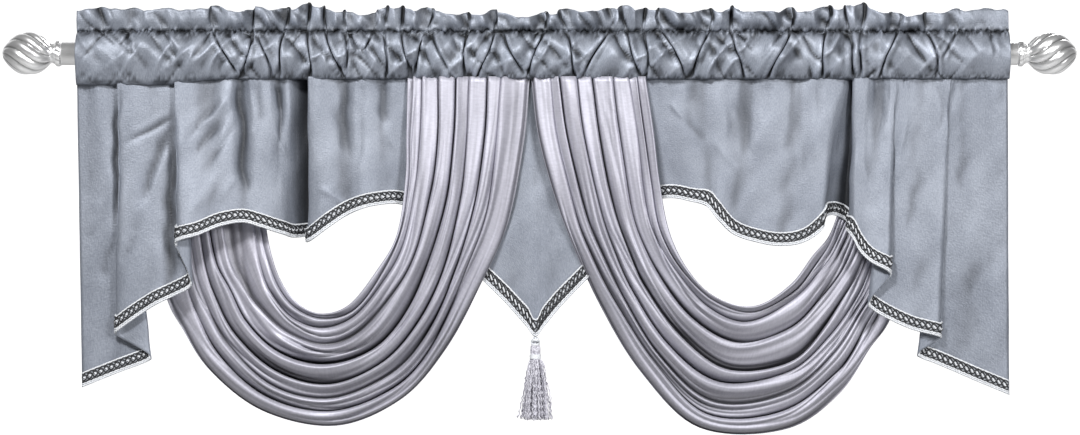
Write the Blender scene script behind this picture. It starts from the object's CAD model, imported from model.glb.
"""Looks of the swag valance: fine cloth, braid, tassel and polished finials.

X runs along the rod, -Y faces the room and +Z is up. The origin is on the rod's axis at
mid-length. Sizes are in millimetres and MM turns them into metres.
"""
import math
from collections import namedtuple

import bpy
import numpy as np
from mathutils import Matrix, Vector, noise


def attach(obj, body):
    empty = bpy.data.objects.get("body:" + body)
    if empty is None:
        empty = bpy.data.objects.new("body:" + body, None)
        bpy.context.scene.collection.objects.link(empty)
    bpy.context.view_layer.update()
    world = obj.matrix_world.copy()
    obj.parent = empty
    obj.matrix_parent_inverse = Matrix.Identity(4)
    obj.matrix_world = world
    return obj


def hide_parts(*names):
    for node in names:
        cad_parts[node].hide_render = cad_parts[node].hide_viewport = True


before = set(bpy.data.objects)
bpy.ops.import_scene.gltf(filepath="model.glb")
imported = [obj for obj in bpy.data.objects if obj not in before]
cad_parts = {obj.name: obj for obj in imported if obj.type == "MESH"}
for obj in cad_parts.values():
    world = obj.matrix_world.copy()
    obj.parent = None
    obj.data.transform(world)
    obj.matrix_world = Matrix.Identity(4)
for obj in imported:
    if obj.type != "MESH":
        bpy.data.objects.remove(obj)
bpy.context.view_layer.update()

# Metres in a millimetre, the gap between pieces that meet, and the cloth's thickness
MM = 0.001
GAP = 0.3
CLOTH = 0.35

# How light the cloth looks by how far it lies behind its surroundings, by how far it lies
# behind the rod's axis, and by how far it faces up
Tone = namedtuple("Tone", "place tone")
CREASE_TONES = [Tone(*row) for row in (
    (-3.0, 1.2),
    (-0.8, 1.05),
    (0.2, 1.0),
    (1.2, 0.6),
    (4.0, 0.12),
)]
RECESS_TONES = [Tone(*row) for row in (
    (0.0, 1.0),
    (6.0, 0.42),
    (12.0, 0.2),
)]
UNDERSIDE_TONES = [Tone(*row) for row in (
    (-0.8, 0.55),
    (-0.05, 1.0),
)]

# Irregular waves of the cloth: their height, their length along and down the cloth, and
# the seed of their noise. A wave with no end down the cloth runs straight down it
Wave = namedtuple("Wave", "height along down seed")
ENDLESS = math.inf

# Irregular ripples of a swag: their height, how many there are across the swag and along
# its drape, and the seed of their noise
Ripple = namedtuple("Ripple", "height across along seed")

# Cloth pressed into facets: their width, how they slant, their length, the height and the
# mean height of their relief, and the height and width of the lip between two facets
Facet = namedtuple("Facet", "width slant length height mean lip lip_width seed")
LIP_SHARPNESS = 1.5

# A band of the header in which something shows: its height, its reach and its share there
Band = namedtuple("Band", "height reach share")

# Sheets of cloth in metres: width along the rod or the drape and length of the flat cut,
# the cut's area, how the sheet is held and by what
Cut = namedtuple("Cut", "flat area held rests_on")

# Rod
ROD_DIAMETER = 25.0
ROD_LEFT = -513.0
ROD_RIGHT = 510.0
ROD_EDGE = 0.6
ROD_SEGMENTS = 96

# Finials: the twisted flutes of the ball, and how high their crest and how low their
# groove lies as a share of the flute's height in each row
FLUTES = 9
FLUTE_TWIST = 2.2
FLUTE_ROUNDNESS = 0.6
FLUTE_CREST = 0.6
FLUTE_GROOVE = -1.4
TARNISH = 0.75
TARNISH_WIDTH = 0.75
FINIAL_SEGMENTS = 144
FINIAL_STEPS = 4

# A row for each ring of the turned neck and ball, from the rod outwards
FinialRow = namedtuple("FinialRow", "along radius flute")
FINIAL_ROWS = [FinialRow(*row) for row in (
    (0, 12.6, 0),
    (0.8, 13.4, 0.5),
    (4.8, 13.4, 0.5),
    (6, 12, 0.3),
    (8.5, 10.4, 0.3),
    (11, 10.6, 0.5),
    (13.5, 12.8, 0.8),
    (19, 17.2, 1.3),
    (26, 20.6, 1.6),
    (33, 21.8, 1.7),
    (39, 21.6, 1.7),
    (45, 20.2, 1.6),
    (51, 17, 1.3),
    (57, 11.8, 0.9),
    (61, 6.8, 0.5),
    (63, 2.5, 0.1),
)]

# Header
SEAM_HEIGHT = -28.0
STITCH_HEIGHT = 23.0
HEADER_LEFT = -496.0
HEADER_RIGHT = 500.0
HEADER_COLUMNS = 780
POCKET_BULGE = 9.0
BACK_BULGE = 0.6
HEADER_FACETS = (
    Facet(23.0, 34.0, 55.0, 9.0, 2.0, -2.0, 0.09, 5.5),
    Facet(23.0, -31.0, 55.0, -9.0, -2.0, 2.0, 0.09, 9.5),
)

# Seams of the header: their droop at the left end, and the puckers of the stitching
FOOT_HEIGHT = 25.0
SEAM_DROOP = 6.5
DROOP_END = -400.0
DROOP_FADE = 70.0
SEAM_WAVE = Wave(0.9, 9.0, ENDLESS, 2.6)
PUCKER_WAVE = Wave(3.4, 5.0, ENDLESS, 8.2)
PUCKERS = Band(STITCH_HEIGHT, 6.0, 1.0)
STITCH_WAVE = Wave(7.0, 3.4, 7.0, 7.7)
STITCHES = Band(STITCH_HEIGHT, 4.0, 1.0)
SEAM_STITCHES = Band(-26.0, 3.0, 0.5)

# Ruffle: its crest between the tucks, and how it swings to the room and back
RUFFLE_RISE = 26.0
LEFT_CREST = 48.0
RIGHT_CREST = 47.0
CREST_DIP = 5.0
CREST_SINK = 2.0
CREST_RELIEF = 0.8
CREST_WAVE = Wave(2.0, 10.0, ENDLESS, 3.1)
RUFFLE_BELLY = 9.9
RUFFLE_TUCK = 8.1
RUFFLE_BACK = 7.2
RUFFLE_SPEED = 1.5
RUFFLE_LEAN = 0.5
RUFFLE_LEAN_WAVE = Wave(3.0, 14.0, ENDLESS, 6.4)
PETALS = Facet(13.0, 26.0, 30.0, 13.0, 2.6, 2.0, 0.1, 1.7)
PETAL_SPEED = 2.0
PETAL_LEAST = 0.3

# Tone of the header: the grid steps at which neighbours are compared, the shadows at the
# seam and the stitching, and the side that is turned from the key light
HEADER_REACHES = ((1, 3, 7), (1, 3))
SEAM_SHADOW = Band(SEAM_HEIGHT, 1.6, 0.5)
STITCH_SHADOW = Band(STITCH_HEIGHT, 4.5, 1.0)
MEAN_SHADOW = 0.45
MOST_SHADOW = 0.85
SHADOW_WAVE = Wave(0.8, 8.0, 12.0, 4.4)
SLOPE_SHADOW = 0.35
HEADER_CONTRAST = 1.3

# Shape of a tuck: its groove, the ridge and the overlap beside it, how it bends, and where
# it goes on above the stitching and fades out below, as shares of the pocket's height
TUCK_WIDTH = 3.6
TUCK_SHARPNESS = 1.1
TUCK_SPACING = 14.0
RIDGE_AWAY = 4.5
RIDGE_WIDTH = 2.0
RIDGE_SHARE = 0.42
OVERLAP = 3.4
OVERLAP_AWAY = 4.2
TUCK_BEND = 2.0
TUCK_BENDS = 4.5
TUCK_ABOVE = 0.3
TUCK_FADE = 0.3

# Short creases that fan out from each tuck, each drawn between a least and a most
FANS = 5
FAN_SEED = 12
FANS_FROM_SEAM = 0.35
FAN_EXTRA_DEPTH = 0.1
FAN_SHARPNESS = 1.2
Fan = namedtuple("Fan", "lean reach shift depth width")
LEAST_FAN = Fan(-1.0, 12.0, -8.0, -5.5, 1.4)
MOST_FAN = Fan(1.0, 46.0, 8.0, 2.5, 3.0)

# Tucks: where each gathered crease leaves the stitching and meets the seam, how deep it
# is against the others, how far down it reaches, and how high the ruffle stands there
Tuck = namedtuple("Tuck", "top_x seam_x depth reach crest")
TUCKS = [Tuck(*row) for row in (
    (-471, -451, 0.45, 0.35, 50),
    (-438, -451, 0.45, 0.35, 49),
    (-402, -391, 0.5, 0.4, 49),
    (-348, -323, 0.8, 1, 52),
    (-308, -319, 1, 1, 47),
    (-303, -286, 0.8, 1, 51),
    (-273, -281, 0.9, 1, 49),
    (-247, -247, 1, 1, 55),
    (-229, -212, 1, 1, 49),
    (-208, -208, 0.8, 1, 46),
    (-204, -191, 0.8, 0.5, 44),
    (-180, -188, 0.8, 0.5, 44),
    (-165, -166, 0.8, 1, 52),
    (-147, -141, 1, 1, 51),
    (-122, -138, 1, 1, 49),
    (-116, -96, 0.7, 1, 48),
    (-79, -82, 0.9, 1, 44),
    (-50, -67, 1, 1, 48),
    (-41, -17, 0.9, 1, 44),
    (2, -14, 1, 1, 44),
    (26, 39, 0.9, 1, 49),
    (71, 44, 0.8, 1, 49),
    (90, 108, 1, 1, 52),
    (112, 112, 0.9, 1, 49),
    (131, 155, 1, 1, 49),
    (178, 160, 0.9, 1, 48),
    (205, 215, 1, 1, 50),
    (265, 243, 1, 1, 49),
    (305, 297, 1, 1, 51),
    (328, 335, 1, 1, 52),
    (343, 339, 0.9, 1, 54),
    (379, 361, 0.9, 1, 44),
    (414, 424, 0.8, 1, 45),
    (442, 428, 0.5, 0.7, 48),
    (478, 484, 0.2, 0.6, 49),
)]

# Header section, from the front of its underside up to the ruffle's fold and down the
# back: gather is the share of the tucks' relief, rise is the share of the ruffle's height
SectionRow = namedtuple("SectionRow", "depth height gather rise")
FRONT_SECTION = [SectionRow(*row) for row in (
    (6, -27.8, 0.05, 0),
    (8, -27.4, 0.15, 0),
    (9.6, -24.5, 0.45, 0),
    (12.6, -15, 0.85, 0),
    (14, -6, 1, 0),
    (13.9, 0, 1, 0),
    (12.6, 7, 0.95, 0),
    (9.2, 14.5, 0.8, 0),
    (5.4, 20.4, 0.5, 0),
    (2.2, 22.6, 0.2, 0),
    (1.2, STITCH_HEIGHT, 0, 0.01),
    (3.4, STITCH_HEIGHT, 0, 0.12),
    (3, STITCH_HEIGHT, 0, 0.4),
    (1.9, STITCH_HEIGHT, 0, 0.75),
    (1.2, STITCH_HEIGHT, 0, 0.95),
    (0, STITCH_HEIGHT, 0, 1),
)]
FRONT_STEPS = 3
BACK_STEPS = 1

# Panels: a row for each crease or crest from one side to the other, with its place
# under the header and its place at the hem
PANEL_TOP = SEAM_HEIGHT + 3.0
PANEL_ROWS = 118
PANEL_STEPS = 9
PANEL_REACHES = ((1, 3, 6), (1, 2))
GATHER_WAVE = Wave(1.1, 5.0, 60.0, 0.0)
GATHER_REACH = 20.0
LONG_WAVE = Wave(1.8, 26.0, 120.0, 1.0)
SLANTED_WAVE = Wave(1.3, 30.0, 70.0, 5.0)
SLANT = 0.7
CRINKLE_WAVE = Wave(0.25, 6.0, 16.0, 2.0)
SMOOTH_TOP = 15.0
PanelColumn = namedtuple("PanelColumn", "top_x top_y hem_x hem_y hem_z")
LEFT_PANEL = [PanelColumn(*row) for row in (
    (-496, -4, -490, -8, -357),
    (-474, -6, -453, -7, -342),
    (-457, -3, -419, -8, -329),
    (-449, -3, -415, -11, -326),
    (-448, -5.5, -417, -14.5, -322),
    (-451, -8.5, -449, -15.5, -303),
    (-452, -10, -454, -18.5, -299),
    (-447, -10, -450, -22, -296),
    (-418, -6, -412, -22, -270),
    (-395, -3, -374, -22, -251),
    (-387, -2, -370, -25, -247),
    (-385, -5, -372, -28.5, -240),
    (-389, -10, -385, -29.5, -212),
    (-391, -12, -389, -32.5, -205),
    (-385, -11, -385, -36, -201),
    (-354, -5, -365, -34, -195),
    (-333, -9, -341, -29, -185),
    (-321, -3, -317, -26, -181),
    (-309, -8, -299, -24, -186),
    (-293, -8, -284, -20, -191),
    (-282, -3, -274, -15, -194),
    (-269, -4, -267, -3, -197),
    (-261, 5, -261, 6, -197),
    (-248, 12, -247, 12, -196),
    (-245, 6, -244, 2, -198),
    (-249, -9, -248, -15, -202),
    (-245, -11, -244, -19, -200),
    (-230, -9, -228, -21, -188),
    (-210, -3, -209, -18, -175),
    (-189, -9, -189, -20, -166),
    (-168, -3, -170, -14, -162),
    (-154, -5, -155, -8, -161),
    (-137, -3, -140, -4, -164),
)]
RIGHT_PANEL = [PanelColumn(*row) for row in (
    (108, -2, 122, -3, -156),
    (129, -4, 142, -7, -155),
    (149, -5, 157, -12, -158),
    (170, -3, 177, -14, -164),
    (197, -8, 189, -18, -179),
    (221, -3, 204, -18, -193),
    (245, -8, 229, -21, -202),
    (272, -3, 256, -20, -206),
    (293, -8, 280, -22, -202),
    (312, -8, 299, -19, -189),
    (325, -5, 302, -9, -177),
    (331, 1, 312, 3, -173),
    (335, 8, 326, 12, -178),
    (336, 3, 332, 2, -184),
    (333, -8, 328, -14, -189),
    (336, -11, 332, -22, -196),
    (348, -9, 338, -27, -210),
    (360, -4, 350, -33, -223),
    (373, -8, 368, -36, -233),
    (377, -8.2, 371, -32.5, -237),
    (379, -8, 366, -29.5, -244),
    (381, -7.2, 350, -28.5, -262),
    (384, -6.4, 347, -25, -269),
    (387, -6.2, 351, -22, -273),
    (393, -8, 368, -21.5, -283),
    (411, -5, 395, -22, -295),
    (433, -8, 422, -22, -302),
    (437, -8.2, 425, -18.5, -304),
    (438, -7.8, 419, -15.5, -309),
    (440, -6.8, 403, -14.5, -319),
    (441, -6, 401, -11, -323),
    (444, -5, 406, -8, -326),
    (450, -5, 422, -7, -332),
    (475, -6, 464, -7, -350),
    (499, -4, 500, -8, -365),
)]
CENTRE_PANEL = [PanelColumn(*row) for row in (
    (-95, 1, -95, 0, -210),
    (-65, 4, -65, -1, -240),
    (-35, 1, -35, -2, -270),
    (-16, 2, -16, -3.5, -291.5),
    (-6, 3, -6, -4, -303),
    (4, 2, 4, -3.5, -291.5),
    (22, 1, 22, -2, -270),
    (52, 4, 52, -1, -239),
    (82, 1, 82, 0, -209),
)]

# Creases pressed into the panels: they bend a little, taper at both ends and are steep on
# the side that lies on the right of their run
CREASE_BEND_X = Wave(5.0, 28.0, 28.0, 3.3)
CREASE_BEND_Z = Wave(5.0, 28.0, 28.0, 6.6)
CREASE_TAPER = 0.35
STEEP_SIDE = 0.75
GENTLE_SIDE = 1.1
CREASE_SHARPNESS = 1.5

# A row for each crease from its start to its end as seen from the room, with its half
# width and its depth, which is below zero for a trough
Crease = namedtuple("Crease", "start_x start_z end_x end_z width depth")
PANEL_CREASES = [Crease(*row) for row in (
    (-321, -10, -314, -170, 5.5, -5),
    (-300, -10, -303, -90, 5, -2.4),
    (-282, -10, -279, -110, 4, -3.6),
    (-208, -10, -210, -110, 5, -3),
    (-189, -10, -196, -130, 6, -2.4),
    (-166, -10, -172, -90, 5, -2.4),
    (156, -10, 160, -90, 5.5, -1.6),
    (197, -10, 205, -110, 6, -1.4),
    (215, -10, 222, -130, 5, -1.4),
    (243, -10, 240, -80, 5, -1.4),
    (297, -10, 296, -110, 5, -1.4),
    (362, -10, 356, -120, 5.5, -1.4),
    (426, -10, 428, -90, 5, -1.1),
    (-395, -300, -394, -40, 8, -5),
    (-453, -210, -452, -30, 4, -4),
    (-448, -100, -392, -66, 4, -2.4),
    (-446, -94, -396, -62, 3, 1.2),
    (-419, -158, -396, -92, 5, 1.6),
    (-428, -170, -396, -70, 5, -3.2),
    (-380, -100, -340, -46, 4, -1.8),
    (-372, -112, -334, -56, 4, -1.8),
    (-360, -130, -322, -66, 4, -1.8),
    (-449, -234, -423, -164, 5, -2.2),
    (-486, -196, -468, -152, 6, 1.4),
    (-470, -250, -455, -190, 6, -1.6),
    (-365, -83, -327, -46, 4, 1.8),
    (-360, -92, -322, -56, 4, -1.4),
    (-377, -180, -340, -120, 7, 1.6),
    (-345, -160, -318, -128, 5, 1.4),
    (-288, -75, -267, -116, 4, 1.8),
    (-284, -30, -281, -68, 3, -2),
    (-222, -50, -200, -120, 6, -1.4),
    (-240, -140, -205, -168, 5, 1.2),
    (-180, -60, -150, -110, 6, 1.2),
    (136, -46, 158, -72, 3.5, 1),
    (150, -60, 176, -100, 5, -1),
    (176, -86, 216, -130, 7, 0.8),
    (205, -40, 230, -120, 6, -1),
    (262, -60, 248, -140, 7, 1),
    (286, -44, 276, -150, 5, -0.8),
    (300, -60, 290, -120, 4, 1),
    (352, -60, 346, -150, 4, -1),
    (392, -60, 372, -150, 5, 1.1),
    (405, -110, 384, -210, 6, -1.1),
    (425, -70, 412, -190, 5, 0.8),
    (455, -60, 446, -170, 6, -0.8),
    (470, -120, 452, -230, 7, 1),
    (484, -190, 468, -290, 6, -0.8),
)]

# Swags: a row for each station along the drape, from the pleated end at the middle of
# the header, round the bottom, to the end behind the side panel. Depth is the valley
# between the folds, fold is how far their crests stand in front of it, and creases is
# the share of the fine creases
SWAG_STEPS = 10
SwagStation = namedtuple(
    "SwagStation", "inner_x inner_z outer_x outer_z depth fold creases")
LEFT_SWAG = [SwagStation(*row) for row in (
    (-142, PANEL_TOP, -12, PANEL_TOP, -5, 6, 0.15),
    (-143, -82, -18, -93, -10, 7.5, 0.4),
    (-144, -135, -35, -180, -13, 8.5, 0.7),
    (-153, -194, -62, -242, -16, 8, 1.0),
    (-174, -232, -101, -315, -15, 9, 1.0),
    (-204, -269, -151, -371, -13, 9, 1.0),
    (-234, -278, -220, -399, -10, 9, 1.0),
    (-260, -266, -299, -383, -6, 8, 0.9),
    (-278, -242, -357, -338, -1, 6, 0.6),
    (-288, -216, -385, -295, 3, 4, 0.4),
    (-294, -189, -401, -264, 4.5, 3.5, 0.35),
    (-301, -114, -421, -157, 5, 3, 0.35),
    (-309, PANEL_TOP, -438, PANEL_TOP, 5, 3, 0.35),
)]
RIGHT_SWAG = [SwagStation(*row) for row in (
    (111, PANEL_TOP, -10.5, PANEL_TOP, -5, 6, 0.15),
    (119, -82, -3, -87, -10, 7.5, 0.4),
    (126, -141, 16, -157, -14, 8.5, 0.7),
    (136, -191, 35, -207, -17, 8, 1.0),
    (155, -230, 63, -269, -15, 9, 1.0),
    (184, -259, 107, -341, -13, 9, 1.0),
    (226, -270, 170, -401, -10, 9, 1.0),
    (266, -247, 266, -402, -6, 8, 1.0),
    (290, -217, 322, -364, 4, 6, 1.0),
    (309, -195, 354, -317, 14, 4, 1.0),
    (322, -162, 377, -283, 20, 2.5, 1.0),
    (339, -103, 400, -178, 21, 2, 1.0),
    (348, PANEL_TOP, 422, PANEL_TOP, 16, 2, 1.0),
)]

# Fold lines: a row for each valley across a swag, its share of the width at the pleated
# end, at the bottom of the drape and at the hidden end, the next fold's height, and the
# share of that height at which a soft valley ends at the bottom
FoldLine = namedtuple("FoldLine", "head bottom tail height floor")
LEFT_FOLDS = [FoldLine(*row) for row in (
    (0.0, 0.0, 0.0, 0.4, 0.0),
    (0.05, 0.06, 0.06, 0.8, 0.0),
    (0.13, 0.13, 0.14, 1.0, 0.2),
    (0.26, 0.28, 0.42, 1.1, 0.75),
    (0.41, 0.48, 0.52, 1.2, 0.0),
    (0.52, 0.65, 0.60, 1.0, 0.0),
    (0.66, 0.77, 0.69, 0.9, 0.6),
    (0.78, 0.88, 0.79, 0.9, 0.0),
    (1.0, 1.0, 1.0, 0.0, 0.0),
)]
RIGHT_FOLDS = [FoldLine(*row) for row in (
    (0.0, 0.0, 0.0, 1.1, 0.0),
    (0.085, 0.06, 0.06, 0.8, 0.3),
    (0.16, 0.14, 0.16, 0.9, 0.6),
    (0.30, 0.31, 0.32, 1.1, 0.1),
    (0.48, 0.52, 0.48, 0.9, 0.0),
    (0.62, 0.63, 0.58, 1.2, 0.0),
    (0.76, 0.76, 0.70, 0.9, 0.6),
    (0.84, 0.88, 0.84, 1.0, 0.0),
    (1.0, 1.0, 1.0, 0.0, 0.0),
)]

# One fold from its valley over its crest to the next valley, as a flat pleat at the
# pleated end and as a round roll at the bottom: shares of the width and of the height
FoldPoint = namedtuple("FoldPoint", "pleat_across pleat_rise roll_across roll_rise")
FOLD_POINTS = [FoldPoint(*row) for row in (
    (0.0, -0.3, 0.0, -0.2),
    (-0.06, 0.1, -0.08, 0.2),
    (-0.06, 0.7, -0.07, 0.65),
    (0.03, 1.0, 0.05, 0.96),
    (0.22, 0.93, 0.22, 1.0),
    (0.46, 0.84, 0.43, 0.92),
    (0.68, 0.77, 0.63, 0.72),
    (0.83, 0.66, 0.79, 0.4),
    (0.91, 0.05, 0.9, -0.05),
    (1.0, -0.3, 1.0, -0.2),
)]
FOLD_STEPS = 3
FOLD_HEIGHT = 1.5
FOLD_FLATNESS = 0.4
FOLD_SINK = 0.3
ROLL_SPEED = 3.0
BOTTOM_TILT = 38.0
TILT_CENTRE = 0.4

# Relief of the swags: ripples over the whole sheet, gathers below the header, and how the
# folds swell, sway and wander
SWAG_RIPPLES = (
    Ripple(3.0, 12.0, 2.6, 0.0),
    Ripple(1.6, 30.0, 5.0, 1.0),
)
SWAG_GATHERS = Ripple(4.0, 16.0, 20.0, 9.0)
GATHERS_SLANT = 2.5
GATHERS_REACH = 0.07
SWELL = Ripple(0.8, 5.0, 5.0, 3.0)
SWAY = Ripple(0.035, 5.0, 7.0, 4.0)
WANDER = Ripple(0.03, 3.7, 6.0, 6.0)
SHEEN = Ripple(0.3, 50.0, 6.0, 8.0)
SWAG_EDGE = 0.03
SWAG_REACHES = ((), (3, 6, 12))
SWAG_CONTRAST = 0.65

# Fine creases of a swag, each drawn between a least and a most: shares of the drape's
# length and of the swag's width, and the depth
SWAG_CREASES = 90
SWAG_CREASE_TAPER = 0.4
SWAG_CREASE_SHARPNESS = 1.4
SwagCrease = namedtuple("SwagCrease", "start length centre drift width depth")
LEAST_CREASE = SwagCrease(-0.1, 0.2, 0.02, -0.14, 0.005, -5.5)
MOST_CREASE = SwagCrease(0.75, 0.6, 0.98, 0.14, 0.02, 1.6)

# Braid: a ribbon along the hem, with cords on it. Two rows of the panel's grid show which
# way is up from the hem and which way the hem faces
BRAID_WIDTH = 15.0
BRAID_BASE = 0.8
BRAID_ROWS = 8
BRAID_END = 0.6
BRAID_STEP = 1.0
UP_ROW = -6
FACING_ROW = -3
LEAST_SLOPE = 0.62
SLOPE_COLUMNS = 9
PLAIT_PITCH = 12.5
CORD_SIDES = 5

# Cords of the braid: where each runs across the ribbon, how far and how often in a pitch
# it swings, where in its swing it starts, and how high it stands and bobs
BraidCord = namedtuple("BraidCord", "across swing turns start stand bob")
PLAIT_RADIUS = 0.8
PLAIT_CORDS = [BraidCord(*row) for row in (
    (8.6, 2.9, 1, 0, 0.7, 0.45),
    (8.6, 2.9, 1, math.pi, 0.7, 0.45),
    (4.4, 0.7, 2, 0, 0.5, 0),
    (12.7, 0.7, 2, math.pi, 0.5, 0),
)]
EDGE_RADIUS = 0.9
EDGE_CORDS = [BraidCord(*row) for row in (
    (1.2, 0.35, 4, 0, 0.45, 0),
    (3, 0.35, 4, 0, 0.45, 0),
    (13.9, 0.25, 4, 0, 0.45, 0),
    (8.6, 1.3, 2, 0, 0.55, 0.3),
)]

# Tassel: a row for each point of a strand, with its drop below the panel's tip and the
# radius of the outermost strand there
TIP = CENTRE_PANEL[len(CENTRE_PANEL) // 2]
TASSEL_SEED = 7
TASSEL_STRANDS = 150
STRAND_RADIUS = 0.62
STRAND_STEPS = 4
GOLDEN_ANGLE = 2.399963
StrandRow = namedtuple("StrandRow", "drop spread")
STRAND_ROWS = [StrandRow(*row) for row in (
    (7, 2.6),
    (9.5, 4.6),
    (16, 5),
    (20.5, 4.4),
    (23, 5.2),
    (27, 6.2),
    (34, 7.8),
    (44, 9.4),
    (56, 11.4),
    (68, 13.4),
    (79, 15.2),
    (89, 16.5),
)]
BOUND_ROWS = 5
RAGGED = 4.0
STRAY = 0.68
CRIMP = 0.8
CRIMP_TURNS = 0.9
CRIMP_START = 23.0
CRIMP_RUN = 20.0

# Binding of the tassel: the wraps round its head, the loops of its knot and its stem
BINDING_RADIUS = 1.3
BINDING_SIDES = 8
WRAPS = 5
WRAP_RADIUS = 5.0
WRAP_DROP = 19.0
WRAP_PITCH = 0.75
WRAP_POINTS = 150
LOOP_POINTS = 40
KnotLoop = namedtuple("KnotLoop", "drop radius tilt")
KNOT_LOOPS = (
    KnotLoop(2.2, 3.0, 1.0),
    KnotLoop(4.6, 3.8, -1.4),
    KnotLoop(7.0, 3.6, 1.2),
)
STEM = ((0.0, 0.0, 0.3), (0.3, 0.1, -3.0), (-0.3, 0.0, -6.0), (0.0, 0.0, -10.0))

# Specks of the looks: how they are stretched, their number to a metre and their detail
Specks = namedtuple("Specks", "stretch number detail")
CLOUDS = Specks((1.0, 0.7, 1.0), 22.0, 5.0)
CRINKLES = Specks((0.55, 1.0, 1.0), 700.0, 6.0)
TAFFETA_SLUBS = Specks((1.0, 0.3, 1.0), 900.0, 4.0)
SATIN_SLUBS = Specks((1.0, 0.3, 1.0), 500.0, 4.0)
SMUDGES = Specks((1.0, 1.0, 1.0), 60.0, 6.0)
SMUDGE_SPAN = (0.3, 0.7)

# Cloths: the dark and light colours of their threads, roughness, how much they shine, their
# slubs and how much fine crinkles show
Cloth = namedtuple("Cloth", "name dark light roughness lustre slubs grain")
HEADER_TAFFETA = Cloth(
    "header_taffeta", (0.19, 0.21, 0.25), (0.31, 0.335, 0.39), 0.5, 0.35, TAFFETA_SLUBS, 0.5)
PANEL_TAFFETA = Cloth(
    "panel_taffeta", (0.2, 0.22, 0.265), (0.32, 0.345, 0.4), 0.52, 0.35, TAFFETA_SLUBS, 0.5)
SWAG_SATIN = Cloth(
    "swag_satin", (0.375, 0.37, 0.425), (0.465, 0.46, 0.525), 0.5, 0.3, SATIN_SLUBS, 0.15)
THREAD_SPAN = (0.35, 0.65)
THREAD_PITCH = 0.0006
THREAD_HEIGHT = 0.00012
THREAD_STRENGTH = 0.25
CRINKLE_HEIGHT = 0.0008

# Yarns: dark and light colours, roughness and the size of their plies in metres
Yarn = namedtuple("Yarn", "name dark light roughness pitch")
RIBBON_YARN = Yarn("braid_ribbon", (0.2, 0.22, 0.25), (0.7, 0.73, 0.78), 0.4, 0.0014)
DARK_YARN = Yarn("braid_dark", (0.005, 0.005, 0.007), (0.02, 0.021, 0.026), 0.5, 0.0008)
SILVER_YARN = Yarn("braid_silver", (0.6, 0.63, 0.68), (0.97, 0.98, 1.0), 0.32, 0.0008)
TASSEL_YARN = Yarn("tassel_rayon", (0.3, 0.29, 0.35), (0.9, 0.89, 0.96), 0.35, 0.0016)
PLY_DETAIL = 3.0
PLY_HEIGHT = 0.0003
PLY_STRENGTH = 0.5
YARN_SHEEN = 0.2

# Stage in metres: floor and backdrop, lights with their places, sizes and powers, camera
FLOOR = -2.1
STAGE_REACH = 20.0
BACKDROP = 14.0
BACKDROP_GLOW = 0.9
WORLD_GLOW = 0.11
LIGHT_AIM = (0.0, 0.0, -0.15)
Light = namedtuple("Light", "name place size power")
LIGHTS = (
    Light("key", (-0.65, -2.3, 1.6), 0.5, 76.0),
    Light("fill", (1.6, -2.8, 0.6), 0.7, 50.0),
    Light("back", (1.2, 3.0, 2.0), 0.7, 60.0),
)
FRAME_CENTRE = (-0.001, 0.0, -0.1755)
FRAME_WIDTH = 1.1556
CAMERA_DISTANCE = 4.0


def blend(first, second, start, end, knot):
    """The values between two rows that stand at knots start and end."""
    share = (knot - start) / (end - start)
    return [a + (b - a) * share for a, b in zip(first, second)]


def catmull_rom(rows, knots, knot):
    """A point on the curve through four rows, between the second and the third."""
    k0, k1, k2, k3 = knots
    a = blend(rows[0], rows[1], k0, k1, knot)
    b = blend(rows[1], rows[2], k1, k2, knot)
    c = blend(rows[2], rows[3], k2, k3, knot)
    d = blend(a, b, k0, k2, knot)
    e = blend(b, c, k1, k3, knot)
    return blend(d, e, k1, k2, knot)


def smooth_rows(table, places, steps):
    """The table's rows as an array with steps to each gap, on a centripetal curve.

    places holds a point for each row, and the distances between them set the knots.
    """
    before = blend(table[1], table[0], 0, 1, 2)
    after = blend(table[-2], table[-1], 0, 1, 2)
    rows = [before, *table, after]
    gaps = [math.sqrt((b - a).length) for a, b in zip(places, places[1:])]
    gaps = [gaps[0], *gaps, gaps[-1]]
    knots = [sum(gaps[:i]) for i in range(len(rows))]
    made = []
    for i in range(len(table) - 1):
        for step in range(steps):
            knot = knots[i + 1] + gaps[i + 1] * step / steps
            made.append(catmull_rom(rows[i:i + 4], knots[i:i + 4], knot))
    made.append(list(table[-1]))
    return np.array(made, dtype=float)


def ease(share):
    """A share from 0 to 1 that starts and ends gently."""
    share = np.clip(share, 0.0, 1.0)
    return share * share * (3.0 - 2.0 * share)


def bell(value, centre, width):
    """A share that is 1 at the centre and falls off on both sides of it."""
    return np.exp(-((value - centre) / width) ** 2)


def band_share(band, height):
    """How much of what a band of the header shows is there at each height."""
    return band.share * bell(height, band.height, band.reach)


def taper(share, end):
    """A share that rises from 0 over the first end of a run and falls over the last."""
    return ease(share / end) * ease((1.0 - share) / end)


def running_lengths(steps):
    """The length from the start after each of the steps."""
    return np.concatenate([[0.0], np.cumsum(steps)])


def path_lengths(path):
    """The length along a path at each of its points."""
    return running_lengths(np.linalg.norm(np.diff(path, axis=0), axis=1))


def rough(first, second, seed):
    """Smooth noise from -1 to 1 at the points of two arrays of coordinates."""
    values = [noise.noise((a, b, seed)) for a, b in zip(first.ravel(), second.ravel())]
    return np.array(values).reshape(first.shape)


def wave_height(wave, along, down, seed=0.0):
    """Height of an irregular wave at places on the cloth."""
    return wave.height * rough(along / wave.along, down / wave.down, seed + wave.seed)


def ripple_height(ripple, across, along, seed):
    """Height of an irregular ripple at shares of a swag's width and of its drape."""
    return ripple.height * rough(across * ripple.across, along * ripple.along, seed + ripple.seed)


def facet_height(facet, x, z):
    """Relief of cloth pressed into facets, with a lip along the lines between them."""
    fold = np.abs(rough(x / facet.width + z / facet.slant, z / facet.length, facet.seed))
    lip = facet.lip * np.exp(-(fold / facet.lip_width) ** LIP_SHARPNESS)
    return facet.height * fold - facet.mean + lip


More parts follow.
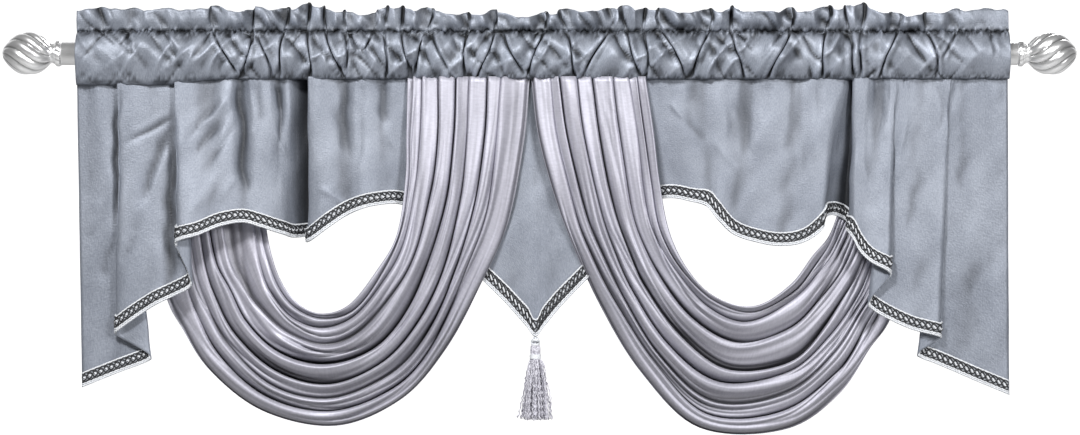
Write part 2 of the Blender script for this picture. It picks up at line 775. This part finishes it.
def unit(vectors):
    """The vectors at a length of one."""
    return vectors / np.maximum(np.linalg.norm(vectors, axis=-1, keepdims=True), 1e-9)


def surface_normals(points):
    """Unit normals of a grid of points, on the side of second axis times first axis."""
    return unit(np.cross(np.gradient(points, axis=1), np.gradient(points, axis=0)))


def crease_tone(depth, reaches):
    """How light each point of a grid looks, from its depth as seen from the room.

    reaches gives the grid steps at which neighbours are compared, for each axis.
    """
    behind = np.zeros(depth.shape)
    for axis, steps in enumerate(reaches):
        places = np.arange(depth.shape[axis])
        inside = np.minimum(places, places[::-1])
        for step in steps:
            away = np.minimum(step, inside)
            before = np.take(depth, places - away, axis=axis)
            after = np.take(depth, places + away, axis=axis)
            behind += (depth - (before + after) / 2.0) / len(steps)
    return np.interp(behind, *zip(*CREASE_TONES))


def finish_piece(name, mesh, material, node=None):
    """An object on the mesh that rides on the part and may replace a solid."""
    mesh.materials.append(material)
    mesh.shade_smooth()
    piece = bpy.data.objects.new(name, mesh)
    bpy.context.scene.collection.objects.link(piece)
    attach(piece, "root")
    if node:
        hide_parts(node)
    return piece


def thicken(piece, thickness):
    """Give a sheet its thickness, half of it on each side."""
    solidify = piece.modifiers.new("thickness", "SOLIDIFY")
    solidify.thickness = thickness * MM
    solidify.offset = 0.0


def grid_mesh(name, points, wrap=False):
    """A mesh through a grid of points, with its cloth lengths as texture coordinates."""
    columns, rows = points.shape[:2]
    index = np.arange(columns * rows).reshape(columns, rows)
    last = index if wrap else index[:, :-1]
    after = np.roll(index, -1, axis=1) if wrap else index[:, 1:]
    faces = np.stack([last[:-1], last[1:], after[1:], after[:-1]], axis=-1).reshape(-1, 4)
    mesh = bpy.data.meshes.new(name)
    mesh.from_pydata((points.reshape(-1, 3) * MM).tolist(), [], faces.tolist())
    u = running_lengths(np.linalg.norm(np.diff(points, axis=0), axis=2).mean(axis=1))
    v = running_lengths(np.linalg.norm(np.diff(points, axis=1), axis=2).mean(axis=0))
    lengths = np.stack(np.meshgrid(u, v, indexing="ij"), axis=-1).reshape(-1, 2) * MM
    layer = mesh.uv_layers.new(name="cloth")
    layer.data.foreach_set("uv", lengths[faces.ravel()].ravel())
    return mesh


def set_tone(mesh, tone):
    """Give each point of a mesh the tone by which its material's colour is multiplied."""
    mesh.attributes.new("tone", "FLOAT", "POINT").data.foreach_set("value", tone.ravel())


def add_sheet(name, points, tone, material, wrap=False):
    """A sheet of cloth centred on the grid of points, which replaces its solid."""
    mesh = grid_mesh(name, points, wrap)
    set_tone(mesh, tone)
    piece = finish_piece(name + "_cloth", mesh, material, name)
    thicken(piece, CLOTH)
    return piece


def tubes_mesh(name, tubes):
    """One mesh of closed tubes, each a grid of points with a ring for each place along it."""
    points = []
    faces = []
    first = 0
    for tube in tubes:
        rings, sides = tube.shape[:2]
        index = first + np.arange(rings * sides).reshape(rings, sides)
        after = np.roll(index, -1, axis=1)
        quads = np.stack([index[:-1], after[:-1], after[1:], index[1:]], axis=-1)
        faces += quads.reshape(-1, 4).tolist()
        faces += [index[0][::-1].tolist(), index[-1].tolist()]
        points.append(tube.reshape(-1, 3))
        first += rings * sides
    mesh = bpy.data.meshes.new(name)
    mesh.from_pydata((np.concatenate(points) * MM).tolist(), [], faces)
    return mesh


def cord_points(path, radius, sides):
    """The rings of a round cord along a path."""
    turns = np.arange(sides) * math.tau / sides
    tangent = unit(np.gradient(path, axis=0))
    guide = np.where(np.abs(tangent[:, 1:2]) < 0.9, [[0.0, 1.0, 0.0]], [[1.0, 0.0, 0.0]])
    side = unit(np.cross(tangent, guide))[:, None, :]
    other = np.cross(tangent[:, None, :], side)
    ring = side * np.cos(turns)[None, :, None] + other * np.sin(turns)[None, :, None]
    return path[:, None, :] + ring * radius


def add_node(tree, kind, inputs, **settings):
    """A shader node whose inputs are given as values or as other nodes' outputs."""
    node = tree.nodes.new("ShaderNode" + kind)
    for setting, value in settings.items():
        setattr(node, setting, value)
    connect(tree, node, inputs)
    return node


def connect(tree, node, inputs):
    """Set a node's inputs to values, or link them to other nodes' outputs."""
    for key, value in inputs.items():
        if isinstance(value, bpy.types.NodeSocket):
            tree.links.new(value, node.inputs[key])
        else:
            node.inputs[key].default_value = value


def new_material(name, colour, roughness, metallic=0.0):
    """A material with its node tree and its Principled shader."""
    material = bpy.data.materials.new(name)
    material.use_nodes = True
    shader = material.node_tree.nodes["Principled BSDF"]
    connect(material.node_tree, shader, {
        "Base Color": (*colour, 1.0), "Roughness": roughness, "Metallic": metallic,
    })
    return material, material.node_tree, shader


def specks_node(tree, vector, specks):
    """Irregular specks on coordinates that are stretched along the cloth."""
    mapping = add_node(tree, "Mapping", {"Vector": vector, "Scale": specks.stretch})
    return add_node(tree, "TexNoise", {
        "Vector": mapping.outputs["Vector"], "Scale": specks.number, "Detail": specks.detail,
    }).outputs["Fac"]


def math_node(tree, operation, first, second):
    """Arithmetic on two values."""
    return add_node(tree, "Math", {0: first, 1: second}, operation=operation).outputs["Value"]


def ramp_node(tree, factor, span, dark, light):
    """A colour ramp from dark at the low end of a span to light at its high end."""
    ramp = add_node(tree, "ValToRGB", {"Fac": factor})
    for element, place, colour in zip(ramp.color_ramp.elements, span, (dark, light)):
        element.position = place
        element.color = (*colour, 1.0)
    return ramp.outputs["Color"]


def bump_node(tree, height, strength, distance, **under):
    """A bump, on top of another one where its Normal is given."""
    inputs = {"Height": height, "Strength": strength, "Distance": distance, **under}
    return add_node(tree, "Bump", inputs).outputs["Normal"]


def toned(tree, colour):
    """A colour multiplied by the tone of the mesh's points."""
    tone = add_node(tree, "Attribute", {}, attribute_name="tone").outputs["Fac"]
    inputs = {0: colour, "Scale": tone}
    return add_node(tree, "VectorMath", inputs, operation="SCALE").outputs["Vector"]


def weave_height(tree, vector):
    """Height of a plain weave of threads."""
    inputs = {"Vector": vector, "Scale": 1.0 / (THREAD_PITCH * 20.0), "Distortion": 0.6}
    waves = [
        add_node(tree, "TexWave", inputs, bands_direction=direction).outputs["Fac"]
        for direction in ("X", "Y")
    ]
    return math_node(tree, "MAXIMUM", *waves)


def cloth_material(cloth):
    """Woven cloth with slubs, soft colour changes and fine crinkles."""
    material, tree, shader = new_material(
        cloth.name, cloth.light, cloth.roughness, cloth.lustre)
    vector = add_node(tree, "UVMap", {}, uv_map="cloth").outputs["UV"]
    clouds, slubs, crinkles = (
        specks_node(tree, vector, specks) for specks in (CLOUDS, cloth.slubs, CRINKLES))
    mean = math_node(tree, "MULTIPLY", math_node(tree, "ADD", clouds, slubs), 0.5)
    colour = ramp_node(tree, mean, THREAD_SPAN, cloth.dark, cloth.light)
    threads = bump_node(tree, weave_height(tree, vector), THREAD_STRENGTH, THREAD_HEIGHT)
    bumps = bump_node(tree, crinkles, cloth.grain, CRINKLE_HEIGHT, Normal=threads)
    connect(tree, shader, {"Base Color": toned(tree, colour), "Normal": bumps})
    return material


def yarn_material(yarn):
    """Twisted yarn with its plies as fine bumps."""
    material, tree, shader = new_material(yarn.name, yarn.light, yarn.roughness)
    vector = add_node(tree, "TexCoord", {}).outputs["Object"]
    plies = specks_node(tree, vector, Specks((1.0, 1.0, 1.0), 1.0 / yarn.pitch, PLY_DETAIL))
    connect(tree, shader, {
        "Base Color": ramp_node(tree, plies, THREAD_SPAN, yarn.dark, yarn.light),
        "Normal": bump_node(tree, plies, PLY_STRENGTH, PLY_HEIGHT),
        "Sheen Weight": YARN_SHEEN,
    })
    return material


def metal_material():
    """Polished silver with faint smudges, darker where it is tarnished."""
    silver = (0.93, 0.93, 0.93)
    material, tree, shader = new_material("polished_silver", silver, 0.2, 0.85)
    vector = add_node(tree, "TexCoord", {}).outputs["Object"]
    smudge = specks_node(tree, vector, SMUDGES)
    span = add_node(tree, "MapRange", {"Value": smudge, "To Min": 0.26, "To Max": 0.42})
    colour = ramp_node(tree, smudge, SMUDGE_SPAN, (0.94, 0.94, 0.95), (1.0, 1.0, 1.0))
    connect(tree, shader, {
        "Base Color": toned(tree, colour),
        "Roughness": span.outputs["Result"],
        "Normal": bump_node(tree, smudge, 0.08, 0.0005),
    })
    return material


def lathe_points(rows, segments):
    """A grid of points turned about X through rows of along and radius."""
    turns = np.arange(segments) * math.tau / segments
    along, turn = np.meshgrid(rows[:, 0], turns, indexing="ij")
    radius = np.repeat(rows[:, 1:2], segments, axis=1)
    return np.stack([along, radius * np.cos(turn), radius * np.sin(turn)], axis=-1)


def add_rod(material):
    """The pole, with slightly eased ends."""
    radius = ROD_DIAMETER / 2
    rows = np.array([
        (ROD_LEFT, radius - ROD_EDGE),
        (ROD_LEFT + ROD_EDGE, radius),
        (ROD_RIGHT - ROD_EDGE, radius),
        (ROD_RIGHT, radius - ROD_EDGE),
    ])
    mesh = tubes_mesh("rod", [lathe_points(rows, ROD_SEGMENTS)])
    set_tone(mesh, np.ones(len(mesh.vertices)))
    finish_piece("rod_pole", mesh, material, "rod")
    mesh.set_sharp_from_angle(angle=math.radians(50))


def add_finial(side, end_x, outward, material):
    """A twisted, fluted ball on its neck, with tarnish in the grooves."""
    places = [Vector((row.along, row.radius)) for row in FINIAL_ROWS]
    rows = smooth_rows(FINIAL_ROWS, places, FINIAL_STEPS)
    along, radius, flute = (rows[:, i:i + 1] for i in range(3))
    points = lathe_points(rows, FINIAL_SEGMENTS)
    turns = np.arange(FINIAL_SEGMENTS)[None, :] * math.tau / FINIAL_SEGMENTS
    twist = FLUTE_TWIST * along / FINIAL_ROWS[-1].along
    lobes = np.abs(np.cos(FLUTES / 2 * (turns + twist))) ** FLUTE_ROUNDNESS
    lift = flute * (FLUTE_GROOVE + (FLUTE_CREST - FLUTE_GROOVE) * lobes)
    points[:, :, 1:] *= (1.0 + lift / radius)[:, :, None]
    points[:, :, 0] = end_x + outward * (GAP + points[:, :, 0])
    tone = 1.0 - ease(flute) * TARNISH * (1.0 - ease(lobes / TARNISH_WIDTH))
    if outward < 0:
        points = points[:, ::-1]
        tone = tone[:, ::-1]
    mesh = tubes_mesh("finial_" + side, [points])
    set_tone(mesh, tone)
    finish_piece(f"finial_{side}_ball", mesh, material, "finial_" + side)


def tuck_relief(x, z):
    """How far the cloth stands out between its tucks, and its sideways lean over them."""
    down = (STITCH_HEIGHT - z) / (STITCH_HEIGHT - SEAM_HEIGHT)
    nearest = np.full(x.shape, np.inf)
    ridge = np.zeros(x.shape)
    lean = np.zeros(x.shape)
    for tuck in TUCKS:
        run = np.clip(down, -TUCK_ABOVE, 1.0) / tuck.reach
        centre = tuck.top_x + (tuck.seam_x - tuck.top_x) * run
        centre += TUCK_BEND * np.sin(TUCK_BENDS * down + tuck.top_x)
        depth = tuck.depth * np.ones(x.shape)
        if tuck.reach < 1.0:
            depth *= 1.0 - ease((down / tuck.reach - 1.0 + TUCK_FADE) / TUCK_FADE)
        away = np.abs(x - centre)
        nearest = np.minimum(nearest, away + (1.0 - depth) * TUCK_SPACING)
        ridge = np.maximum(ridge, depth * bell(away, RIDGE_AWAY, RIDGE_WIDTH))
        lean -= np.sign(x - centre) * depth * OVERLAP * bell(away, OVERLAP_AWAY, RIDGE_WIDTH)
    swell = 1.0 - np.exp(-(nearest / TUCK_WIDTH) ** TUCK_SHARPNESS)
    return swell + RIDGE_SHARE * ridge, lean


def fan_creases(x, z):
    """Relief of short creases that fan out from the stitching and from the seam."""
    rng = np.random.default_rng(FAN_SEED)
    total = np.zeros(x.shape)
    for tuck in TUCKS:
        strength = min(tuck.depth + FAN_EXTRA_DEPTH, 1.0)
        for _ in range(FANS):
            from_seam = rng.random() < FANS_FROM_SEAM
            fan = Fan(*(rng.uniform(*span) for span in zip(LEAST_FAN, MOST_FAN)))
            start = (tuck.seam_x if from_seam else tuck.top_x) + fan.shift
            away = z - SEAM_HEIGHT if from_seam else STITCH_HEIGHT - z
            across = np.abs((x - start - fan.lean * away) / fan.width)
            inside = ease(1.0 - away / fan.reach)
            total += fan.depth * strength * inside * np.exp(-across ** FAN_SHARPNESS)
    return total


def header_section():
    """Rows round the header's section, and the side of each: -1 for the front, 1 for the back."""
    places = [Vector((row.depth, row.height + RUFFLE_RISE * row.rise)) for row in FRONT_SECTION]
    front = smooth_rows(FRONT_SECTION, places, FRONT_STEPS)
    back = smooth_rows(FRONT_SECTION, places, BACK_STEPS)[::-1][1:]
    return np.concatenate([front, back]), np.repeat((-1.0, 1.0), (len(front), len(back)))


def header_bulge(x, z, section, side, gathered, relief):
    """How far the pocket stands out from the rod's axis, with its creases and puckers."""
    depth, _, gather, rise = section
    pocket = rise == 0.0
    out = depth + POCKET_BULGE * gather * relief * np.where(side < 0, 1.0, BACK_BULGE)
    out += gather * gathered * sum(facet_height(facet, x, z) for facet in HEADER_FACETS)
    out += np.where((side < 0) & pocket, fan_creases(x, z), 0.0)
    stitched = band_share(STITCHES, z) + band_share(SEAM_STITCHES, z)
    out += stitched * np.abs(wave_height(STITCH_WAVE, x, z))
    return np.maximum(out, np.where(pocket, depth + GAP, 0.0))


def ruffle_swing(x, z, rise, between, gathered, relief):
    """How far the ruffle swings towards the room, in petals and bellies between the tucks."""
    belly = RUFFLE_BELLY * between - RUFFLE_BACK + RUFFLE_TUCK * np.minimum(relief, 1.0)
    petals = (PETAL_LEAST + (1.0 - PETAL_LEAST) * gathered) * facet_height(PETALS, x, z)
    return ease(rise * RUFFLE_SPEED) * gathered * belly + ease(rise * PETAL_SPEED) * petals


def header_tone(x, y, z, height, side):
    """Tone of the header, dark in its creases, along its seams and away from the key light."""
    tone = crease_tone(-side * y, HEADER_REACHES)
    tone *= 1.0 - band_share(SEAM_SHADOW, height)
    shadow = np.clip(MEAN_SHADOW + wave_height(SHADOW_WAVE, x, z), 0.0, MOST_SHADOW)
    tone *= 1.0 - shadow * band_share(STITCH_SHADOW, z)
    slope = np.gradient(-side * y, axis=0) / np.gradient(x, axis=0)
    return (tone * (1.0 - SLOPE_SHADOW * np.clip(slope, -1.0, 1.0))) ** HEADER_CONTRAST


def header_points():
    """The header's grid and tone, columns along the rod and rows round the section."""
    rows, sides = header_section()
    xs = np.linspace(HEADER_LEFT, HEADER_RIGHT, HEADER_COLUMNS)
    x = np.repeat(xs[:, None], len(rows), axis=1)
    section = [np.tile(column, (len(xs), 1)) for column in rows.T]
    _, height, gather, rise = section
    side = np.tile(sides, (len(xs), 1))
    tops = [tuck.top_x for tuck in TUCKS]
    between = ease(np.abs(xs[:, None] - tops).min(axis=1) / TUCK_SPACING)[:, None]
    gathered = np.interp(x, tops, [tuck.depth for tuck in TUCKS])
    crests = [LEFT_CREST, *(tuck.crest for tuck in TUCKS), RIGHT_CREST]
    crest = np.interp(x, [HEADER_LEFT, *tops, HEADER_RIGHT], crests)
    crest += wave_height(CREST_WAVE, x, height) - CREST_DIP * between * gathered
    z = height + rise * (crest - STITCH_HEIGHT)
    relief, lean = tuck_relief(x, z)
    z -= CREST_SINK * rise * (relief - CREST_RELIEF)
    z += wave_height(PUCKER_WAVE, x, z) * band_share(PUCKERS, z)
    foot = ease((SEAM_HEIGHT + FOOT_HEIGHT - height) / FOOT_HEIGHT)
    z -= SEAM_DROOP * foot * (1.0 - ease((x - DROOP_END) / DROOP_FADE))
    z += foot * wave_height(SEAM_WAVE, x, z)
    out = header_bulge(x, z, section, side, gathered, relief)
    y = side * out - ruffle_swing(x, z, rise, between, gathered, relief)
    lean *= np.where(rise > 0.0, RUFFLE_LEAN, gather)
    lean += rise * wave_height(RUFFLE_LEAN_WAVE, x, z)
    return np.stack([x + lean, y, z], axis=-1), header_tone(x, y, z, height, side)


def crease_depth(x, z):
    """Relief of the pressed creases at places seen from the room, a little bent."""
    total = np.zeros(x.shape)
    x = x + wave_height(CREASE_BEND_X, x, z)
    z = z + wave_height(CREASE_BEND_Z, x, z)
    for crease in PANEL_CREASES:
        run = np.array([crease.end_x - crease.start_x, crease.end_z - crease.start_z])
        length = np.linalg.norm(run)
        run = run / length
        along = (x - crease.start_x) * run[0] + (z - crease.start_z) * run[1]
        across = (x - crease.start_x) * run[1] - (z - crease.start_z) * run[0]
        width = crease.width * np.where(across > 0.0, STEEP_SIDE, GENTLE_SIDE)
        groove = np.exp(-np.abs(across / width) ** CREASE_SHARPNESS)
        total += crease.depth * taper(along / length, CREASE_TAPER) * groove
    return total


def panel_points(table, seed):
    """The panel's grid and tone, columns from side to side and rows down to the hem."""
    places = [Vector((row.hem_x, row.hem_y, row.hem_z)) for row in table]
    columns = smooth_rows(table, places, PANEL_STEPS)
    down = np.linspace(0.0, 1.0, PANEL_ROWS + 1)[None, :]
    top_x, top_y, hem_x, hem_y, hem_z = (columns[:, i:i + 1] for i in range(5))
    x = top_x + (hem_x - top_x) * down
    y = top_y + (hem_y - top_y) * down
    z = PANEL_TOP + (hem_z - PANEL_TOP) * down
    points = np.stack([x, y, z], axis=-1)
    below = PANEL_TOP - z
    width = path_lengths(points[:, PANEL_ROWS // 2])[:, None] + np.zeros(z.shape)
    gathers = wave_height(GATHER_WAVE, width, below, seed) * np.exp(-below / GATHER_REACH)
    waves = wave_height(LONG_WAVE, width, below, seed)
    waves += wave_height(SLANTED_WAVE, width + SLANT * below, below, seed)
    waves += wave_height(CRINKLE_WAVE, width, below, seed)
    relief = gathers + (waves + crease_depth(x, z)) * ease(below / SMOOTH_TOP)
    points = points + surface_normals(points) * relief[:, :, None]
    depth = points[:, :, 1]
    tone = crease_tone(depth, PANEL_REACHES) * np.interp(depth, *zip(*RECESS_TONES))
    return points, tone


def along_column(column, height):
    """The point of a column of points that lies a height above its hem."""
    upward = column[::-1]
    lengths = path_lengths(upward)
    return np.array([np.interp(height, lengths, upward[:, i]) for i in range(3)])


def braid_frame(panel):
    """The ribbon's points and normals, columns along the hem and rows across the ribbon."""
    hem = panel[:, -1]
    along = unit(np.gradient(hem, axis=0))
    up = unit(panel[:, UP_ROW] - hem)
    slope = np.maximum(np.linalg.norm(np.cross(along, up), axis=1), LEAST_SLOPE)
    slope = np.pad(slope, SLOPE_COLUMNS // 2, "edge")
    slope = np.convolve(slope, np.full(SLOPE_COLUMNS, 1.0 / SLOPE_COLUMNS), "valid")
    widths = np.linspace(0.0, BRAID_WIDTH, BRAID_ROWS + 1)
    points = np.array([
        [along_column(column, width / tilt) for width in widths]
        for column, tilt in zip(panel, slope)
    ])
    facing = surface_normals(panel)[:, FACING_ROW]
    return points, np.repeat(facing[:, None, :], BRAID_ROWS + 1, axis=1)


def on_braid(points, normals, along, across, stand):
    """Places on the ribbon at lengths along and across it, at a stand above its cloth."""
    lengths = path_lengths(points[:, BRAID_ROWS // 2])
    column = np.interp(along, lengths, np.arange(len(lengths)))
    row = np.clip(across / BRAID_WIDTH, 0.0, 1.0) * BRAID_ROWS
    i = np.minimum(column.astype(int), len(lengths) - 2)
    j = np.minimum(row.astype(int), BRAID_ROWS - 1)
    a = (column - i)[:, None]
    b = (row - j)[:, None]
    near = points[i, j] * (1 - b) + points[i, j + 1] * b
    far = points[i + 1, j] * (1 - b) + points[i + 1, j + 1] * b
    facing = normals[i, j] * (1 - a) + normals[i + 1, j] * a
    return near * (1 - a) + far * a + facing * stand[:, None]


def add_braid(side, panel, ribbon_material, plait_material, edge_material):
    """Ribbon, plait and edge cords along a panel's hem."""
    name = "braid_" + side
    points, normals = braid_frame(panel)
    back = CLOTH / 2 + GAP
    mesh = grid_mesh(name, points + normals * (back + BRAID_BASE / 2))
    ribbon = finish_piece(name + "_ribbon", mesh, ribbon_material, name)
    thicken(ribbon, BRAID_BASE)
    length = path_lengths(points[:, BRAID_ROWS // 2])[-1]
    along = np.arange(BRAID_END, length - BRAID_END, BRAID_STEP)
    phase = along / PLAIT_PITCH * math.tau
    trims = [ribbon]
    for kind, cords, radius, material in (
        ("_plait", PLAIT_CORDS, PLAIT_RADIUS, plait_material),
        ("_cords", EDGE_CORDS, EDGE_RADIUS, edge_material),
    ):
        tubes = []
        for cord in cords:
            swing = phase * cord.turns + cord.start
            across = cord.across + cord.swing * np.sin(swing)
            stand = back + BRAID_BASE + cord.stand + cord.bob * np.cos(swing)
            path = on_braid(points, normals, along, across, stand)
            tubes.append(cord_points(path, radius, CORD_SIDES))
        mesh = tubes_mesh(name + kind, tubes)
        trims.append(finish_piece(name + kind, mesh, material))
    return trims


def swag_creases(across, along, rng):
    """Relief of fine creases that run along a swag, each over a part of its length."""
    total = np.zeros(across.shape)
    for _ in range(SWAG_CREASES):
        crease = SwagCrease(*(rng.uniform(*span) for span in zip(LEAST_CREASE, MOST_CREASE)))
        share = (along - crease.start) / crease.length
        away = (across - crease.centre - crease.drift * share) / crease.width
        groove = np.exp(-np.abs(away) ** SWAG_CREASE_SHARPNESS)
        total += crease.depth * taper(share, SWAG_CREASE_TAPER) * groove
    return total


def fold_section(folds, station, seed):
    """Places across a swag and rises of its folds, for each column along its drape."""
    head, bottom, tail, heights, floors = (np.array(column) for column in zip(*folds))
    early = ease(station * 2.0)[:, None]
    late = ease(station * 2.0 - 1.0)[:, None]
    lines = head + (bottom - head) * early + (tail - bottom) * late
    numbers, along = np.meshgrid(np.arange(1, len(folds) - 1), station)
    lines[:, 1:-1] += ripple_height(WANDER, numbers, along, seed)
    places = [Vector((row.roll_across, FOLD_FLATNESS * row.roll_rise)) for row in FOLD_POINTS]
    profile = smooth_rows(FOLD_POINTS, places, FOLD_STEPS)[:-1]
    roll = ease(station * ROLL_SPEED)
    across, rise = [], []
    for i in range(len(folds) - 1):
        span = lines[:, i + 1] - lines[:, i]
        for pleat_across, pleat_rise, roll_across, roll_rise in profile:
            place = pleat_across + (roll_across - pleat_across) * roll
            floor = roll * (floors[i] + (floors[i + 1] - floors[i]) * ease(place)) - FOLD_SINK
            height = pleat_rise + (roll_rise - pleat_rise) * roll
            across.append(lines[:, i] + span * place)
            rise.append(np.maximum(height, floor) * heights[i])
    across.append(lines[:, -1])
    rise.append(np.zeros(len(station)))
    return np.stack(across, axis=1), np.stack(rise, axis=1)


def swag_points(stations, folds, seed):
    """The swag's grid and tone, columns along its drape and rows from edge to edge."""
    places = [
        Vector((row.inner_x + row.outer_x, row.inner_z + row.outer_z)) / 2
        for row in stations
    ]
    rows = smooth_rows(stations, places, SWAG_STEPS)
    station = np.linspace(0.0, 1.0, len(rows))
    across, rise = fold_section(folds, station, seed)
    inner_x, inner_z, outer_x, outer_z, depth, fold, creases = (
        rows[:, i:i + 1] for i in range(7))
    along = station[:, None] + np.zeros(across.shape)
    relief = sum(ripple_height(ripple, across, along, seed) for ripple in SWAG_RIPPLES)
    relief += swag_creases(across, along, np.random.default_rng(int(seed)))
    gathers = ripple_height(SWAG_GATHERS, across + GATHERS_SLANT * along, along, seed)
    relief += gathers * bell(along, 0.0, GATHERS_REACH)
    swell = 1.0 + ripple_height(SWELL, across, along, seed)
    inside = ease(np.minimum(across, 1.0 - across) / SWAG_EDGE) * creases
    place = across + ripple_height(SWAY, across, along, seed) * inside
    x = inner_x + (outer_x - inner_x) * place
    z = inner_z + (outer_z - inner_z) * place
    hang = np.sin(math.pi * along) ** 2
    y = depth - fold * FOLD_HEIGHT * rise * swell - relief * inside
    y += BOTTOM_TILT * hang * (across - TILT_CENTRE)
    points = np.stack([x, y, z], axis=-1)
    normals = surface_normals(points)
    normals *= -np.sign(normals[:, :, 1:2].mean())
    tone = crease_tone(y, SWAG_REACHES) ** SWAG_CONTRAST
    tone *= np.interp(normals[:, :, 2], *zip(*UNDERSIDE_TONES))
    tone *= 1.0 + ripple_height(SHEEN, across, along, seed)
    return points, tone


def circle(turns, radius, z):
    """Points round the tassel's axis at the given turns, radius and heights."""
    return np.stack([radius * np.cos(turns), radius * np.sin(turns), z], axis=1)


def tassel_strand(number, rng):
    """The path of one strand below the tip, a little astray and crimped."""
    turn = number * GOLDEN_ANGLE
    reach = math.sqrt((number + 0.5) / TASSEL_STRANDS)
    drop, spread = (np.array(column) for column in zip(*STRAND_ROWS))
    drop[-1] -= RAGGED * rng.random()
    stray = rng.normal(0.0, STRAY, (len(drop), 2)).cumsum(axis=0)
    stray[:BOUND_ROWS] = 0.0
    path = circle(np.full(len(drop), turn), spread * reach, -drop)
    path[:, :2] += stray
    strand = smooth_rows(path, [Vector(place) for place in path], STRAND_STEPS)
    fallen = -strand[:, 2]
    crimp = CRIMP * ease((fallen - CRIMP_START) / CRIMP_RUN)
    strand[:, 0] += crimp * np.sin(CRIMP_TURNS * fallen + turn)
    strand[:, 1] += crimp * np.cos(CRIMP_TURNS * fallen + turn)
    return strand


def add_tassel(strand_material, binding_material):
    """Hanging strands, the wraps round their head, and the knot."""
    top = np.array([TIP.hem_x, TIP.hem_y, TIP.hem_z - GAP])
    rng = np.random.default_rng(TASSEL_SEED)
    strands = [tassel_strand(number, rng) for number in range(TASSEL_STRANDS)]
    turns = np.linspace(0.0, math.tau * WRAPS, WRAP_POINTS)
    wraps = [circle(turns, WRAP_RADIUS, -WRAP_DROP - WRAP_PITCH * turns / math.tau)]
    turns = np.linspace(0.0, math.tau, LOOP_POINTS)
    for loop in KNOT_LOOPS:
        wraps.append(circle(turns, loop.radius, loop.tilt * np.sin(turns) - loop.drop))
    wraps.append(np.array(STEM))
    for name, paths, radius, sides, material, node in (
        ("tassel_strands", strands, STRAND_RADIUS, CORD_SIDES, strand_material, "tassel"),
        ("tassel_binding", wraps, BINDING_RADIUS, BINDING_SIDES, binding_material, None),
    ):
        mesh = tubes_mesh(name, [cord_points(top + path, radius, sides) for path in paths])
        finish_piece(name, mesh, material, node)


def add_plane(name, near, far, material):
    """A stage plane from side to side, between two places given by their Y and Z."""
    left, right = -STAGE_REACH, STAGE_REACH
    corners = [(left, *near), (right, *near), (right, *far), (left, *far)]
    mesh = bpy.data.meshes.new(name)
    mesh.from_pydata(corners, [], [(0, 1, 2, 3)])
    mesh.materials.append(material)
    made = bpy.data.objects.new(name, mesh)
    bpy.context.scene.collection.objects.link(made)


def add_light(light):
    """A soft square light."""
    data = bpy.data.lights.new(light.name, "AREA")
    data.size = light.size
    data.energy = light.power
    lamp = bpy.data.objects.new(light.name, data)
    lamp.location = light.place
    aim = Vector(LIGHT_AIM) - Vector(light.place)
    lamp.rotation_euler = aim.to_track_quat("-Z", "Y").to_euler()
    bpy.context.scene.collection.objects.link(lamp)


def add_camera():
    """The camera, level in front of the valance."""
    data = bpy.data.cameras.new("camera")
    data.lens = data.sensor_width * CAMERA_DISTANCE / FRAME_WIDTH
    camera = bpy.data.objects.new("camera", data)
    camera.location = Vector(FRAME_CENTRE) - Vector((0.0, CAMERA_DISTANCE, 0.0))
    camera.rotation_euler = (math.radians(90), 0.0, 0.0)
    bpy.context.scene.collection.objects.link(camera)
    bpy.context.scene.camera = camera


def add_stage():
    """A plain pale floor, a white backdrop, studio lights and the camera."""
    pale = new_material("studio_floor", (0.8, 0.8, 0.8), 0.8)[0]
    white, tree, shader = new_material("studio_backdrop", (1.0, 1.0, 1.0), 0.8)
    connect(tree, shader, {
        "Emission Color": (1.0, 1.0, 1.0, 1.0), "Emission Strength": BACKDROP_GLOW,
    })
    add_plane("floor", (-STAGE_REACH, FLOOR), (STAGE_REACH, FLOOR), pale)
    add_plane("backdrop", (BACKDROP, FLOOR), (BACKDROP, BACKDROP), white)
    world = bpy.data.worlds.new("studio")
    world.use_nodes = True
    connect(world.node_tree, world.node_tree.nodes["Background"], {
        "Color": (1.0, 1.0, 1.0, 1.0), "Strength": WORLD_GLOW,
    })
    bpy.context.scene.world = world
    for light in LIGHTS:
        add_light(light)
    add_camera()
    bpy.context.scene.view_settings.view_transform = "Standard"


def main():
    """Build the stage and dress every solid of the part."""
    add_stage()
    metal = metal_material()
    add_rod(metal)
    add_finial("left", ROD_LEFT, -1, metal)
    add_finial("right", ROD_RIGHT, 1, metal)

    points, tone = header_points()
    taffeta = cloth_material(HEADER_TAFFETA)
    header = add_sheet("header", points, tone, taffeta, wrap=True)

    taffeta = cloth_material(PANEL_TAFFETA)
    ribbon, dark, silver, yarn = (
        yarn_material(kind) for kind in (RIBBON_YARN, DARK_YARN, SILVER_YARN, TASSEL_YARN))
    for side, table, seed in (
        ("left", LEFT_PANEL, 11.0),
        ("right", RIGHT_PANEL, 23.0),
        ("centre", CENTRE_PANEL, 37.0),
    ):
        name = "panel_" + side
        points, tone = panel_points(table, seed)
        piece = add_sheet(name, points, tone, taffeta)
        add_braid(side, points, ribbon, dark, silver)

    satin = cloth_material(SWAG_SATIN)
    for side, stations, folds, seed in (
        ("left", LEFT_SWAG, LEFT_FOLDS, 51.0),
        ("right", RIGHT_SWAG, RIGHT_FOLDS, 67.0),
    ):
        name = "swag_" + side
        points, tone = swag_points(stations, folds, seed)
        add_sheet(name, points, tone, satin)

    add_tassel(yarn, silver)


main()
